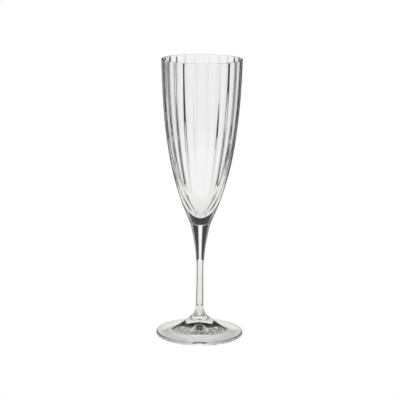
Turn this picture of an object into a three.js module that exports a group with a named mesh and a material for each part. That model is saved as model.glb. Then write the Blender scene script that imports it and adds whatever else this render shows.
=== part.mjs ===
// A champagne flute in clear optic crystal, 225 mm tall, in millimetres with +Z up.
// The origin is on the table, under the centre of the foot. Three gathers of glass make it:
// a blown bowl with a thick base, a drawn stem and a spun foot, each fused end to end on one axis.
import * as THREE from 'three';

const point = (radius, height) => new THREE.Vector2(radius, height);

// Driving dimensions
const HEIGHT = 225;              // table to rim
const RIM_RADIUS = 32.2;         // outside of the bowl at the rim
const FOOT_RADIUS = 35.2;        // outside of the foot
const BOWL_JOINT_HEIGHT = 92.4;  // where the bowl sits on the stem
const BOWL_JOINT_RADIUS = 8.25;
const STEM_JOINT_HEIGHT = 24;    // where the stem sits on the foot
const STEM_JOINT_RADIUS = 3.05;

// Each curve runs between two points and leans towards two more, its low pull and its high pull.

// Bowl
const RIM_WALL = 1.1;            // thickness of the glass at the rim
const WELL_HEIGHT = 98.9;        // lowest point inside the bowl
const BOWL_LOW_PULL = point(27.7, 132.8);
const BOWL_HIGH_PULL = point(30.95, 180.2);
const WELL_LOW_PULL = point(11.8, 99.5);
const WELL_HIGH_PULL = point(30.4, 156.9);
const RIB_COUNT = 24;            // upright ribs, all round the inside of the bowl
const RIB_DEPTH = 0.325;         // how far a rib stands into the bowl
const RIB_UNEVEN = 0.2;          // share of it gained by the ribs at -X and lost by those at +X
const RIB_START_HEIGHT = 104;    // the ribs rise slowly out of the plain well from here,
const RIB_FULL_HEIGHT = 175;     // and have their full depth from here to the rim

// Stem
const STEM_RADIUS = 3.13;        // at its thinnest
const STEM_THIN_HEIGHT = 52;     // height of the thinnest place
const STEM_LOW_PULL = point(3.93, 26.3);
const STEM_WAIST_PULL = point(STEM_RADIUS, 43);
const TAPER_LOW_PULL = point(STEM_RADIUS, 63.2);
const TAPER_HIGH_PULL = point(3.68, 73.6);

// Foot
const FOOT_EDGE_HEIGHT = 2.9;    // top of the foot's outer edge
const BEAD = point(3.4, 23.3);   // rounded bead just under the stem joint
const NECK_HIGH_PULL = point(3.55, 15.7);
const NECK_LOW_PULL = point(7.63, 15);
const SHOULDER = point(10.5, 12); // half way down the foot's cone
const CONE_HIGH_PULL = point(21.2, 2.22);
const CONE_LOW_PULL = point(24.8, 3.14);
const REST_OUTER_RADIUS = 34.4;  // flat ring that stands on the table
const REST_INNER_RADIUS = 29.9;
const HOLLOW_HEIGHT = 7.2;       // hollow under the foot, at its centre
const HOLLOW_HIGH_PULL = point(5.1, HOLLOW_HEIGHT);
const HOLLOW_LOW_PULL = point(13.1, 1.05);

// Fineness of the mesh
const BOWL_SEGMENTS = 4 * RIB_COUNT;
const STEM_SEGMENTS = 24;
const FOOT_SEGMENTS = 48;
const SAME_POINT = 1e-6;         // points closer than this are one

/** Points along a cubic curve from a to d, which b and c pull towards themselves. */
function curve(a, b, c, d, steps) {
  return new THREE.CubicBezierCurve(a, b, c, d).getPoints(steps);
}

/** Joins stretches of outline end to end, and drops each point that repeats the one before it. */
function outline(...stretches) {
  const points = [];
  for (const next of stretches.flat()) {
    const last = points.at(-1);
    if (!last || last.distanceTo(next) > SAME_POINT) {
      points.push(next);
    }
  }
  return points;
}

/** Turns an outline, drawn as radius and height, round the upright axis. */
function turned(points, segments) {
  return new THREE.LatheGeometry(points, segments).rotateX(Math.PI / 2);
}

function bowlOutside() {
  const joint = point(BOWL_JOINT_RADIUS, BOWL_JOINT_HEIGHT);
  const rim = point(RIM_RADIUS, HEIGHT - RIM_WALL / 2);
  return curve(joint, BOWL_LOW_PULL, BOWL_HIGH_PULL, rim, 12);
}

/** The rounded lip, from the outside of the wall over to the inside. */
function bowlLip() {
  const middle = point(RIM_RADIUS - RIM_WALL / 2, HEIGHT - RIM_WALL / 2);
  const lip = new THREE.EllipseCurve(middle.x, middle.y, RIM_WALL / 2, RIM_WALL / 2, 0, Math.PI);
  return lip.getPoints(4);
}

function bowlInside() {
  const rim = point(RIM_RADIUS - RIM_WALL, HEIGHT - RIM_WALL / 2);
  const well = point(0, WELL_HEIGHT);
  return curve(rim, WELL_HIGH_PULL, WELL_LOW_PULL, well, 14);
}

/** How deep a rib is at a height, on the side that the angle from -Y towards +X gives. */
function ribDepthAt(height, angle) {
  const depth = RIB_DEPTH * (1 - RIB_UNEVEN * Math.sin(angle));
  return depth * THREE.MathUtils.smoothstep(height, RIB_START_HEIGHT, RIB_FULL_HEIGHT);
}

function makeBowl() {
  const lip = bowlLip();
  const profile = outline([point(0, BOWL_JOINT_HEIGHT)], bowlOutside(), lip, bowlInside());
  const geometry = turned(profile, BOWL_SEGMENTS);

  // Points past the top of the lip are on the inside, where each rib pushes the wall inwards.
  const firstInside = profile.indexOf(lip.at(2)) + 1;
  const position = geometry.attributes.position;
  for (let i = 0; i < position.count; i++) {
    const x = position.getX(i);
    const y = position.getY(i);
    const radius = Math.hypot(x, y);
    if (i % profile.length < firstInside || radius === 0) {
      continue;
    }
    const angle = Math.atan2(x, -y);
    const wave = (1 + Math.cos(RIB_COUNT * angle)) / 2;
    const scale = 1 - (ribDepthAt(position.getZ(i), angle) * wave) / radius;
    position.setXY(i, x * scale, y * scale);
  }
  return geometry;
}

function makeStem() {
  const top = point(BOWL_JOINT_RADIUS, BOWL_JOINT_HEIGHT);
  const waist = point(STEM_RADIUS, STEM_THIN_HEIGHT);
  const bottom = point(STEM_JOINT_RADIUS, STEM_JOINT_HEIGHT);
  const lower = curve(bottom, STEM_LOW_PULL, STEM_WAIST_PULL, waist, 5);
  const taper = curve(waist, TAPER_LOW_PULL, TAPER_HIGH_PULL, top, 9);
  const lowEnd = point(0, STEM_JOINT_HEIGHT);
  const highEnd = point(0, BOWL_JOINT_HEIGHT);
  return turned(outline([lowEnd], lower, taper, [highEnd]), STEM_SEGMENTS);
}

/** The foot's outer edge, half an ellipse from the flat ring underneath to the top face. */
function footEdge() {
  const across = FOOT_RADIUS - REST_OUTER_RADIUS;
  const up = FOOT_EDGE_HEIGHT / 2;
  const edge = new THREE.EllipseCurve(REST_OUTER_RADIUS, up, across, up, -Math.PI / 2, Math.PI / 2);
  return edge.getPoints(6);
}

function makeFoot() {
  const hollowTop = point(0, HOLLOW_HEIGHT);
  const restInner = point(REST_INNER_RADIUS, 0);
  const edgeTop = point(REST_OUTER_RADIUS, FOOT_EDGE_HEIGHT);
  const joint = point(STEM_JOINT_RADIUS, STEM_JOINT_HEIGHT);
  const jointCentre = point(0, STEM_JOINT_HEIGHT);

  const hollow = curve(hollowTop, HOLLOW_HIGH_PULL, HOLLOW_LOW_PULL, restInner, 8);
  const cone = curve(edgeTop, CONE_LOW_PULL, CONE_HIGH_PULL, SHOULDER, 8);
  const neck = curve(SHOULDER, NECK_LOW_PULL, NECK_HIGH_PULL, BEAD, 6);
  return turned(outline(hollow, footEdge(), cone, neck, [joint, jointCentre]), FOOT_SEGMENTS);
}

/** Clear, colourless, fire-polished crystal. */
function crystal(tint) {
  return new THREE.MeshStandardMaterial({
    color: tint,
    roughness: 0.02,
    metalness: 0,
    transparent: true,
    opacity: 0.35,
  });
}

function piece(name, geometry, tint) {
  const mesh = new THREE.Mesh(geometry, crystal(tint));
  mesh.name = name;
  return mesh;
}

const flute = new THREE.Group();
flute.add(piece('bowl', makeBowl(), 0xf2f4f5));
flute.add(piece('stem', makeStem(), 0xf0f2f4));
flute.add(piece('foot', makeFoot(), 0xeef1f3));

export default flute;
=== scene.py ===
"""A champagne flute in clear optic crystal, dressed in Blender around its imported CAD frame.

The CAD model fixes the size of the three fused pieces. Here each one is made again as a fine, smooth
closed mesh in the same place, with real glass, and stood in a bright-field studio.
"""
import math

import bpy
from mathutils import Matrix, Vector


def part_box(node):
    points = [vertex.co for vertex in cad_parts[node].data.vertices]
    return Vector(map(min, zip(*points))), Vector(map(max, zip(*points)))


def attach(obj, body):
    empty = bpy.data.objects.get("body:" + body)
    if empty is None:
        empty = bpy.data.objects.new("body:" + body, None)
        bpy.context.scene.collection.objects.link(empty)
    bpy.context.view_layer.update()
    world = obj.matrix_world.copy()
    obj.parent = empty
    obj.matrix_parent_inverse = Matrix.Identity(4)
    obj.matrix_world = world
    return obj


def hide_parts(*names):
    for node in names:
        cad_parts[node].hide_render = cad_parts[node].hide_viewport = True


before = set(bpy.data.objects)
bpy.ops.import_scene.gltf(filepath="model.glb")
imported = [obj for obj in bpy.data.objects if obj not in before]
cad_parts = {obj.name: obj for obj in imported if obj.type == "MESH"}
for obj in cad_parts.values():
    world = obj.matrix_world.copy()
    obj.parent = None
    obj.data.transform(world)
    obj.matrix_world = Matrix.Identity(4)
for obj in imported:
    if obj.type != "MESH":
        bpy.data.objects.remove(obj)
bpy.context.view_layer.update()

# ---------------------------------------------------------------- sizes taken from the frame, in metres
BOWL_LOW, BOWL_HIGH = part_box("bowl")
STEM_LOW, STEM_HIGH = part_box("stem")
FOOT_LOW, FOOT_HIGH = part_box("foot")
RIM_HEIGHT = BOWL_HIGH.z
RIM_RADIUS = BOWL_HIGH.x
BOWL_JOINT_HEIGHT = BOWL_LOW.z
BOWL_JOINT_RADIUS = STEM_HIGH.x
STEM_JOINT_HEIGHT = STEM_LOW.z
FOOT_RADIUS = FOOT_HIGH.x
TABLE_HEIGHT = FOOT_LOW.z

# ---------------------------------------------------------------- sizes of the glass itself
# Each pull is a point that a curve leans towards. In the bowl, a pull's rise is its height above the joint,
# or above the bottom of the well for the curve of the inside.
MM = 0.001

# Bowl
RIM_WALL = 1.1 * MM
WELL_DEPTH = 6.5 * MM                # solid glass between the well of the bowl and the joint
BOWL_LOW_PULL_RADIUS = 27.7 * MM
BOWL_LOW_PULL_RISE = 40.4 * MM
BOWL_HIGH_PULL_RADIUS = 30.95 * MM
BOWL_HIGH_PULL_RISE = 87.8 * MM
WELL_LOW_PULL_RADIUS = 11.8 * MM
WELL_LOW_PULL_RISE = 0.6 * MM
WELL_HIGH_PULL_RADIUS = 30.4 * MM
WELL_HIGH_PULL_RISE = 58 * MM
RIB_COUNT = 24
RIB_DEPTH = 0.325 * MM
RIB_UNEVEN = 0.2                     # share of it gained by the ribs at -X and lost by those at +X
RIB_START = 104 * MM                 # the ribs rise out of the smooth well from this height,
RIB_FULL = 175 * MM                  # and have their full depth from here to the rim

# Stem
STEM_JOINT_RADIUS = 3.05 * MM
STEM_RADIUS = 3.13 * MM              # at its thinnest
STEM_THIN_HEIGHT = 52 * MM
STEM_LOW_PULL = (3.93 * MM, 26.3 * MM)
STEM_WAIST_PULL = (STEM_RADIUS, 43 * MM)
TAPER_LOW_PULL = (STEM_RADIUS, 63.2 * MM)
TAPER_HIGH_PULL = (3.68 * MM, 73.6 * MM)

# Foot
FOOT_EDGE = 2.9 * MM                 # thickness of the outer edge
BEAD = (3.4 * MM, 23.3 * MM)         # rounded bead just under the stem
NECK_LOW_PULL = (7.63 * MM, 15 * MM)
NECK_HIGH_PULL = (3.55 * MM, 15.7 * MM)
SHOULDER = (10.5 * MM, 12 * MM)      # half way down the cone
CONE_LOW_PULL = (24.8 * MM, 3.14 * MM)
CONE_HIGH_PULL = (21.2 * MM, 2.22 * MM)
REST_OUTER = 34.4 * MM               # the flat ring that stands on the table
REST_INNER = 29.9 * MM
HOLLOW_HEIGHT = 7.2 * MM
HOLLOW_HIGH_PULL = (5.1 * MM, HOLLOW_HEIGHT)
HOLLOW_LOW_PULL = (13.1 * MM, 1.05 * MM)

GLASS_INDEX = 1.525
WHITE = (1.0, 1.0, 1.0)

# Fineness of the meshes
OUTSIDE_STEPS = 90
LIP_STEPS = 12
INSIDE_STEPS = 110
STEM_LOWER_STEPS = 50
TAPER_STEPS = 80
FOOT_EDGE_STEPS = 16
FOOT_CURVE_STEPS = 60
BOWL_SEGMENTS = 16 * RIB_COUNT
STEM_SEGMENTS = 128
FOOT_SEGMENTS = 192

# ---------------------------------------------------------------- camera
CAMERA_DISTANCE = 1.255              # level distance from the axis of the glass
CAMERA_HEIGHT = 0.375
CAMERA_PITCH = math.radians(11.87)
CAMERA_ROLL = math.radians(0.578)
CAMERA_YAW = math.radians(0.0254)
CAMERA_LENS = 143.75
CAMERA_SENSOR = 36
CAMERA_NEAREST = 0.05
CAMERA_FARTHEST = 30

# ---------------------------------------------------------------- studio
# What the glass refracts and mirrors, with the camera in front: a white backdrop straight behind, darkness
# beside it, grey walls left and right, a pale panel towards the camera, and a small white table whose glow
# has painted shade: dimmer under the glass and in a band on each side. The camera itself sees none of these
# past the glass, only a white floor and background.
# Panels are given as seen from the glass: -Y is towards the camera, and levels are strengths of light.
ROOM = (0.012, 0.012, 0.013)         # the darkness

BACK_DISTANCE = 0.9
BACK_TOP = 0.27
BACK_BOTTOM = -0.5
BACK_HALF_WIDTH = 0.149              # at the height of the bowl's joint
BACK_SPREAD = 0.3                    # how much the half width grows for each metre down
BACK_SHIFT = 0.004                   # to the right
BACK_LEVEL = 0.97
BACK_FALL = 0.34                     # share of the light lost at the sides of the backdrop
BACK_COLUMNS = 16

SIDE_DISTANCE = 0.8
SIDE_NEAR = -0.43                    # where the walls begin, towards the camera
SIDE_FAR = 0.93
SIDE_LOW = -0.4
SIDE_HIGH = 0.9
LEFT_LEVEL = 0.28
RIGHT_LEVEL = 0.37
RIGHT_COLOR = (0.97, 0.99, 1.0)

FRONT_DISTANCE = 0.6                 # of the pale panel, which stands for the room on the camera's side
FRONT_HALF_WIDTH = 1.5
FRONT_LOW = -0.3
FRONT_HIGH = 0.9
FRONT_LEVEL = 0.32

FLOOR_REACH = 20
FLOOR_DROP = 0.00004                 # keeps the floor clear of the foot,
TABLE_DROP = 0.00008                 # and the table clear of both
TABLE_RADIUS = 0.345
TABLE_COLOR = (1.0, 0.99, 0.963)
TABLE_SHADED_LEVEL = 0.8                    # under the glass, lower there as painted shade of the glass
TABLE_EDGE_LEVEL = 0.92              # at the edge of the table
TABLE_RINGS = 24
TABLE_SECTORS = 180
# Two bands of painted shade darken the table's glow behind the glass, one on each side.
SHADE_BAND_LEVEL = 0.08                     # of the two bands of painted shade
SHADE_BAND_START = 23                       # a shade band's sides, in degrees from straight behind the glass
SHADE_BAND_END = 43
SHADE_BAND_SOFT = 5                         # degrees over which each side fades
SHADE_BAND_NEAR = 0.08                      # distance from the glass where a dim band begins,
SHADE_BAND_FULL = 0.11                      # and where it is at its dimmest

# ---------------------------------------------------------------- bounces of light that clear glass needs
GLASS_BOUNCES = 24
GLOSSY_BOUNCES = 12


# ---------------------------------------------------------------- outlines and turned meshes
def ramp(value, start, end):
    """Rises evenly from 0 at start to 1 at end."""
    return min(max((value - start) / (end - start), 0), 1)


def cubic(a, b, c, d, steps):
    """Points along a cubic curve from a to d, which b and c pull towards themselves."""
    points = []
    for i in range(steps + 1):
        t = i / steps
        s = 1 - t
        weights = (s ** 3, 3 * s * s * t, 3 * s * t * t, t ** 3)
        points.append(tuple(sum(w * p[k] for w, p in zip(weights, (a, b, c, d))) for k in (0, 1)))
    return points


def arc(centre, across, up, start, end, steps):
    """Points on an ellipse from one angle to another, both in degrees."""
    points = []
    for i in range(steps + 1):
        angle = math.radians(start + (end - start) * i / steps)
        points.append((centre[0] + across * math.cos(angle), centre[1] + up * math.sin(angle)))
    return points


def turned(name, profile, segments, flat_bands, push=None):
    """A closed mesh: the profile, from axis to axis as (radius, height), turned round the upright axis.

    push(ring, angle, radius) may give a point on a ring another radius. The angle runs from -Y towards +X.
    flat_bands are the bands of faces, counted along the profile, that are cut flat at a fused joint.
    They are shaded flat and get the second material.
    """
    rings = profile[1:-1]
    vertices = [(0, 0, profile[0][1])]
    for ring, (radius, height) in enumerate(rings):
        for k in range(segments):
            angle = 2 * math.pi * k / segments
            r = push(ring, angle, radius) if push else radius
            vertices.append((r * math.sin(angle), -r * math.cos(angle), height))
    vertices.append((0, 0, profile[-1][1]))

    # The first band closes the mesh at one end of the axis, and the last band at the other.
    start = 0
    end = len(vertices) - 1
    last_ring = end - segments
    faces = [(start, 1 + (k + 1) % segments, 1 + k) for k in range(segments)]
    for ring in range(len(rings) - 1):
        low = 1 + ring * segments
        high = low + segments
        for k in range(segments):
            after = (k + 1) % segments
            faces.append((low + k, low + after, high + after, high + k))
    faces += [(end, last_ring + k, last_ring + (k + 1) % segments) for k in range(segments)]

    mesh = bpy.data.meshes.new(name)
    mesh.from_pydata(vertices, [], faces)
    mesh.update()
    for polygon in mesh.polygons:
        flat = polygon.index // segments in flat_bands
        polygon.use_smooth = not flat
        polygon.material_index = 1 if flat else 0
    piece = bpy.data.objects.new(name, mesh)
    bpy.context.scene.collection.objects.link(piece)
    return piece


# ---------------------------------------------------------------- materials
def shaded(name, shader_type):
    """A material with a single shader. The shader's node comes back too, for its settings."""
    material = bpy.data.materials.new(name)
    material.use_nodes = True
    nodes = material.node_tree.nodes
    nodes.clear()
    shader = nodes.new(shader_type)
    output = nodes.new("ShaderNodeOutputMaterial")
    material.node_tree.links.new(shader.outputs[0], output.inputs["Surface"])
    return material, shader


def glass(name):
    """Clear, colourless, fire-polished crystal, whose look is all in its shape and in what it refracts."""
    material, shader = shaded(name, "ShaderNodeBsdfGlass")
    shader.inputs["Color"].default_value = (*WHITE, 1)
    shader.inputs["Roughness"].default_value = 0
    shader.inputs["IOR"].default_value = GLASS_INDEX
    return material


def fused():
    """Where two gathers are fused the glass is continuous, so the joint lets all light straight through."""
    return shaded("fused_joint", "ShaderNodeBsdfTransparent")[0]


def glow(name, color):
    """A light-giving material whose strength at each point of a panel is the panel's own glow there."""
    material, shader = shaded(name, "ShaderNodeEmission")
    shader.inputs["Color"].default_value = (*color, 1)
    strength = material.node_tree.nodes.new("ShaderNodeAttribute")
    strength.attribute_name = "glow"
    material.node_tree.links.new(strength.outputs["Fac"], shader.inputs["Strength"])
    return material


# ---------------------------------------------------------------- pieces
def make_bowl():
    """The bowl, from its joint up the outside, over the lip and down the ribbed inside to the well."""
    well = BOWL_JOINT_HEIGHT + WELL_DEPTH
    lip_radius = RIM_WALL / 2
    lip_height = RIM_HEIGHT - lip_radius
    outside = cubic(
        (BOWL_JOINT_RADIUS, BOWL_JOINT_HEIGHT),
        (BOWL_LOW_PULL_RADIUS, BOWL_JOINT_HEIGHT + BOWL_LOW_PULL_RISE),
        (BOWL_HIGH_PULL_RADIUS, BOWL_JOINT_HEIGHT + BOWL_HIGH_PULL_RISE),
        (RIM_RADIUS, lip_height),
        OUTSIDE_STEPS,
    )
    lip = arc((RIM_RADIUS - lip_radius, lip_height), lip_radius, lip_radius, 0, 180, LIP_STEPS)
    inside = cubic(
        (RIM_RADIUS - RIM_WALL, lip_height),
        (WELL_HIGH_PULL_RADIUS, well + WELL_HIGH_PULL_RISE),
        (WELL_LOW_PULL_RADIUS, well + WELL_LOW_PULL_RISE),
        (0, well),
        INSIDE_STEPS,
    )
    profile = [(0, BOWL_JOINT_HEIGHT)] + outside + lip[1:] + inside[1:]
    first_inside = len(outside) + LIP_STEPS // 2
    heights = [height for _, height in profile[1:-1]]

    def ribbed(ring, angle, radius):
        """Past the top of the lip, each rib pushes the inside of the wall inwards."""
        if ring < first_inside:
            return radius
        rise = ramp(heights[ring], RIB_START, RIB_FULL)
        depth = RIB_DEPTH * rise * rise * (3 - 2 * rise)
        depth *= 1 - RIB_UNEVEN * math.sin(angle)
        return radius - depth * (1 + math.cos(RIB_COUNT * angle)) / 2

    return turned("bowl_glass", profile, BOWL_SEGMENTS, flat_bands=(0,), push=ribbed)


def make_stem():
    """The stem, from its joint with the foot to its thinnest place, and up its taper to the bowl."""
    top = (BOWL_JOINT_RADIUS, BOWL_JOINT_HEIGHT)
    waist = (STEM_RADIUS, STEM_THIN_HEIGHT)
    bottom = (STEM_JOINT_RADIUS, STEM_JOINT_HEIGHT)
    lower = cubic(bottom, STEM_LOW_PULL, STEM_WAIST_PULL, waist, STEM_LOWER_STEPS)
    taper = cubic(waist, TAPER_LOW_PULL, TAPER_HIGH_PULL, top, TAPER_STEPS)
    profile = [(0, STEM_JOINT_HEIGHT)] + lower + taper[1:] + [(0, BOWL_JOINT_HEIGHT)]
    last_band = len(profile) - 2
    return turned("stem_glass", profile, STEM_SEGMENTS, flat_bands=(0, last_band))


def make_foot():
    """The foot, from the top of the hollow underneath out to its edge, and up its cone to the stem."""
    edge_centre = (REST_OUTER, FOOT_EDGE / 2)
    hollow = cubic((0, HOLLOW_HEIGHT), HOLLOW_HIGH_PULL, HOLLOW_LOW_PULL, (REST_INNER, 0), FOOT_CURVE_STEPS)
    edge = arc(edge_centre, FOOT_RADIUS - REST_OUTER, FOOT_EDGE / 2, -90, 90, FOOT_EDGE_STEPS)
    cone = cubic((REST_OUTER, FOOT_EDGE), CONE_LOW_PULL, CONE_HIGH_PULL, SHOULDER, FOOT_CURVE_STEPS)
    neck = cubic(SHOULDER, NECK_LOW_PULL, NECK_HIGH_PULL, BEAD, FOOT_CURVE_STEPS)
    joint_edge = (STEM_JOINT_RADIUS, STEM_JOINT_HEIGHT)
    profile = hollow + edge + cone[1:] + neck[1:] + [joint_edge, (0, STEM_JOINT_HEIGHT)]
    last_band = len(profile) - 2
    return turned("foot_glass", profile, FOOT_SEGMENTS, flat_bands=(last_band,))


# ---------------------------------------------------------------- studio
def panel(name, corners, faces, color, levels):
    """A glowing panel that isn't part of the object, with a level of light at each corner of its mesh."""
    mesh = bpy.data.meshes.new(name)
    mesh.from_pydata(corners, [], faces)
    mesh.attributes.new("glow", "FLOAT", "POINT").data.foreach_set("value", levels)
    mesh.materials.append(glow(name, color))
    made = bpy.data.objects.new(name, mesh)
    bpy.context.scene.collection.objects.link(made)
    return made


def even_panel(name, corners, color, level):
    """A panel of one face that glows the same all over."""
    return panel(name, corners, [range(len(corners))], color, [level] * len(corners))


def upright(start, end, low, high):
    """Corners of an upright rectangle over the line from start to end, both as (x, y)."""
    return [(*start, low), (*end, low), (*end, high), (*start, high)]


def make_floor():
    """The plain white floor that the camera sees."""
    far = FLOOR_REACH
    height = TABLE_HEIGHT - FLOOR_DROP
    corners = [(-far, -far, height), (far, -far, height), (far, far, height), (-far, far, height)]
    floor = even_panel("floor", corners, WHITE, 1)
    floor.visible_transmission = False
    floor.visible_glossy = False


def table_glow_with_painted_shade(x, y):
    """Light from the table, with painted shade: a little brighter far from the glass, and low in two shade
    bands.
    """
    reach = math.hypot(x, y)
    turn = abs(math.degrees(math.atan2(x, y)))
    # How deep the painted shade of the two bands is at this point.
    band_shade = ramp(turn, SHADE_BAND_START, SHADE_BAND_START + SHADE_BAND_SOFT) * (1 - ramp(turn, SHADE_BAND_END - SHADE_BAND_SOFT, SHADE_BAND_END))
    band_shade *= ramp(reach, SHADE_BAND_NEAR, SHADE_BAND_FULL)
    # Painted shade of the glass: the glow is lowest under it and rises towards the table's edge.
    white = TABLE_SHADED_LEVEL + (TABLE_EDGE_LEVEL - TABLE_SHADED_LEVEL) * (reach / TABLE_RADIUS) ** 2
    return white + (SHADE_BAND_LEVEL - white) * band_shade


def make_table():
    """A round table of white card under the glass, made as a glowing panel with painted shade in its glow.
    """
    height = TABLE_HEIGHT - TABLE_DROP
    corners = [(0, 0, height)]
    for ring in range(1, TABLE_RINGS + 1):
        reach = TABLE_RADIUS * ring / TABLE_RINGS
        for k in range(TABLE_SECTORS):
            angle = 2 * math.pi * k / TABLE_SECTORS
            corners.append((reach * math.cos(angle), reach * math.sin(angle), height))
    faces = [(0, 1 + k, 1 + (k + 1) % TABLE_SECTORS) for k in range(TABLE_SECTORS)]
    for ring in range(TABLE_RINGS - 1):
        inner = 1 + ring * TABLE_SECTORS
        outer = inner + TABLE_SECTORS
        for k in range(TABLE_SECTORS):
            after = (k + 1) % TABLE_SECTORS
            faces.append((inner + k, outer + k, outer + after, inner + after))
    levels = [table_glow_with_painted_shade(x, y) for x, y, _ in corners]
    return panel("table", corners, faces, TABLE_COLOR, levels)


def make_backdrop():
    """A white backdrop, wider towards the bottom, with a little less light at its sides."""
    half_top = BACK_HALF_WIDTH - BACK_SPREAD * (BACK_TOP - BOWL_JOINT_HEIGHT)
    half_bottom = BACK_HALF_WIDTH + BACK_SPREAD * (BOWL_JOINT_HEIGHT - BACK_BOTTOM)
    corners, levels = [], []
    for k in range(BACK_COLUMNS + 1):
        across = 2 * k / BACK_COLUMNS - 1
        corners.append((BACK_SHIFT + half_bottom * across, BACK_DISTANCE, BACK_BOTTOM))
        corners.append((BACK_SHIFT + half_top * across, BACK_DISTANCE, BACK_TOP))
        levels += [BACK_LEVEL * (1 - BACK_FALL * across ** 2)] * 2
    faces = [(2 * k, 2 * k + 2, 2 * k + 3, 2 * k + 1) for k in range(BACK_COLUMNS)]
    return panel("backdrop", corners, faces, WHITE, levels)


def make_wall(name, x, color, level):
    """A grey wall beside the glass, left or right."""
    return even_panel(name, upright((x, SIDE_NEAR), (x, SIDE_FAR), SIDE_LOW, SIDE_HIGH), color, level)


def make_front():
    """The pale panel between the glass and the camera. The camera sees it only in the glass."""
    left = (-FRONT_HALF_WIDTH, -FRONT_DISTANCE)
    right = (FRONT_HALF_WIDTH, -FRONT_DISTANCE)
    return even_panel("front_room", upright(left, right, FRONT_LOW, FRONT_HIGH), WHITE, FRONT_LEVEL)


def only_in_glass(piece):
    """Seen only through the glass and in its reflections."""
    piece.visible_camera = False
    piece.visible_diffuse = False
    piece.visible_shadow = False


def carried(piece, camera, camera_place):
    """The panel goes with the camera, so that every view of the glass has the same light from it."""
    only_in_glass(piece)
    piece.parent = camera
    piece.matrix_basis = camera_place.inverted()


def make_studio(camera, camera_place):
    """The floor and the table stay with the glass, and the rest goes with the camera."""
    make_floor()
    only_in_glass(make_table())
    carried(make_backdrop(), camera, camera_place)
    carried(make_wall("left_wall", -SIDE_DISTANCE, WHITE, LEFT_LEVEL), camera, camera_place)
    carried(make_wall("right_wall", SIDE_DISTANCE, RIGHT_COLOR, RIGHT_LEVEL), camera, camera_place)
    carried(make_front(), camera, camera_place)


def make_world():
    """White where the camera looks past the glass, and a dark room where the glass bends the view."""
    world = bpy.data.worlds.new("studio")
    bpy.context.scene.world = world
    world.use_nodes = True
    nodes, links = world.node_tree.nodes, world.node_tree.links
    nodes.clear()
    path = nodes.new("ShaderNodeLightPath")
    white = nodes.new("ShaderNodeBackground")
    white.inputs["Color"].default_value = (*WHITE, 1)
    room = nodes.new("ShaderNodeBackground")
    room.inputs["Color"].default_value = (*ROOM, 1)
    mix = nodes.new("ShaderNodeMixShader")
    output = nodes.new("ShaderNodeOutputWorld")
    links.new(path.outputs["Is Camera Ray"], mix.inputs[0])
    links.new(room.outputs[0], mix.inputs[1])
    links.new(white.outputs[0], mix.inputs[2])
    links.new(mix.outputs[0], output.inputs["Surface"])


def place_of_camera():
    """In front of the glass and a little above it, looking slightly down."""
    stand = Matrix.Translation((0, -CAMERA_DISTANCE, CAMERA_HEIGHT))
    turn = Matrix.Rotation(CAMERA_YAW, 4, "Z")
    tilt = Matrix.Rotation(math.pi / 2 - CAMERA_PITCH, 4, "X")
    roll = Matrix.Rotation(CAMERA_ROLL, 4, "Z")
    return stand @ turn @ tilt @ roll


def make_camera(place):
    data = bpy.data.cameras.new("camera")
    data.lens = CAMERA_LENS
    data.sensor_width = CAMERA_SENSOR
    data.clip_start = CAMERA_NEAREST
    data.clip_end = CAMERA_FARTHEST
    camera = bpy.data.objects.new("camera", data)
    bpy.context.scene.collection.objects.link(camera)
    camera.matrix_world = place
    bpy.context.scene.camera = camera
    return camera


# ---------------------------------------------------------------- the scene
camera_place = place_of_camera()
camera = make_camera(camera_place)
make_world()
make_studio(camera, camera_place)

joint = fused()
pieces = (
    (make_bowl(), "bowl", "bowl_crystal"),
    (make_stem(), "stem", "stem_crystal"),
    (make_foot(), "foot", "foot_crystal"),
)
for piece, node, slot in pieces:
    piece.data.materials.append(glass(slot))
    piece.data.materials.append(joint)
    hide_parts(node)
    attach(piece, "root")

scene = bpy.context.scene
scene.view_settings.view_transform = "Standard"
scene.cycles.max_bounces = GLASS_BOUNCES
scene.cycles.transmission_bounces = GLASS_BOUNCES
scene.cycles.transparent_max_bounces = GLASS_BOUNCES
scene.cycles.glossy_bounces = GLOSSY_BOUNCES
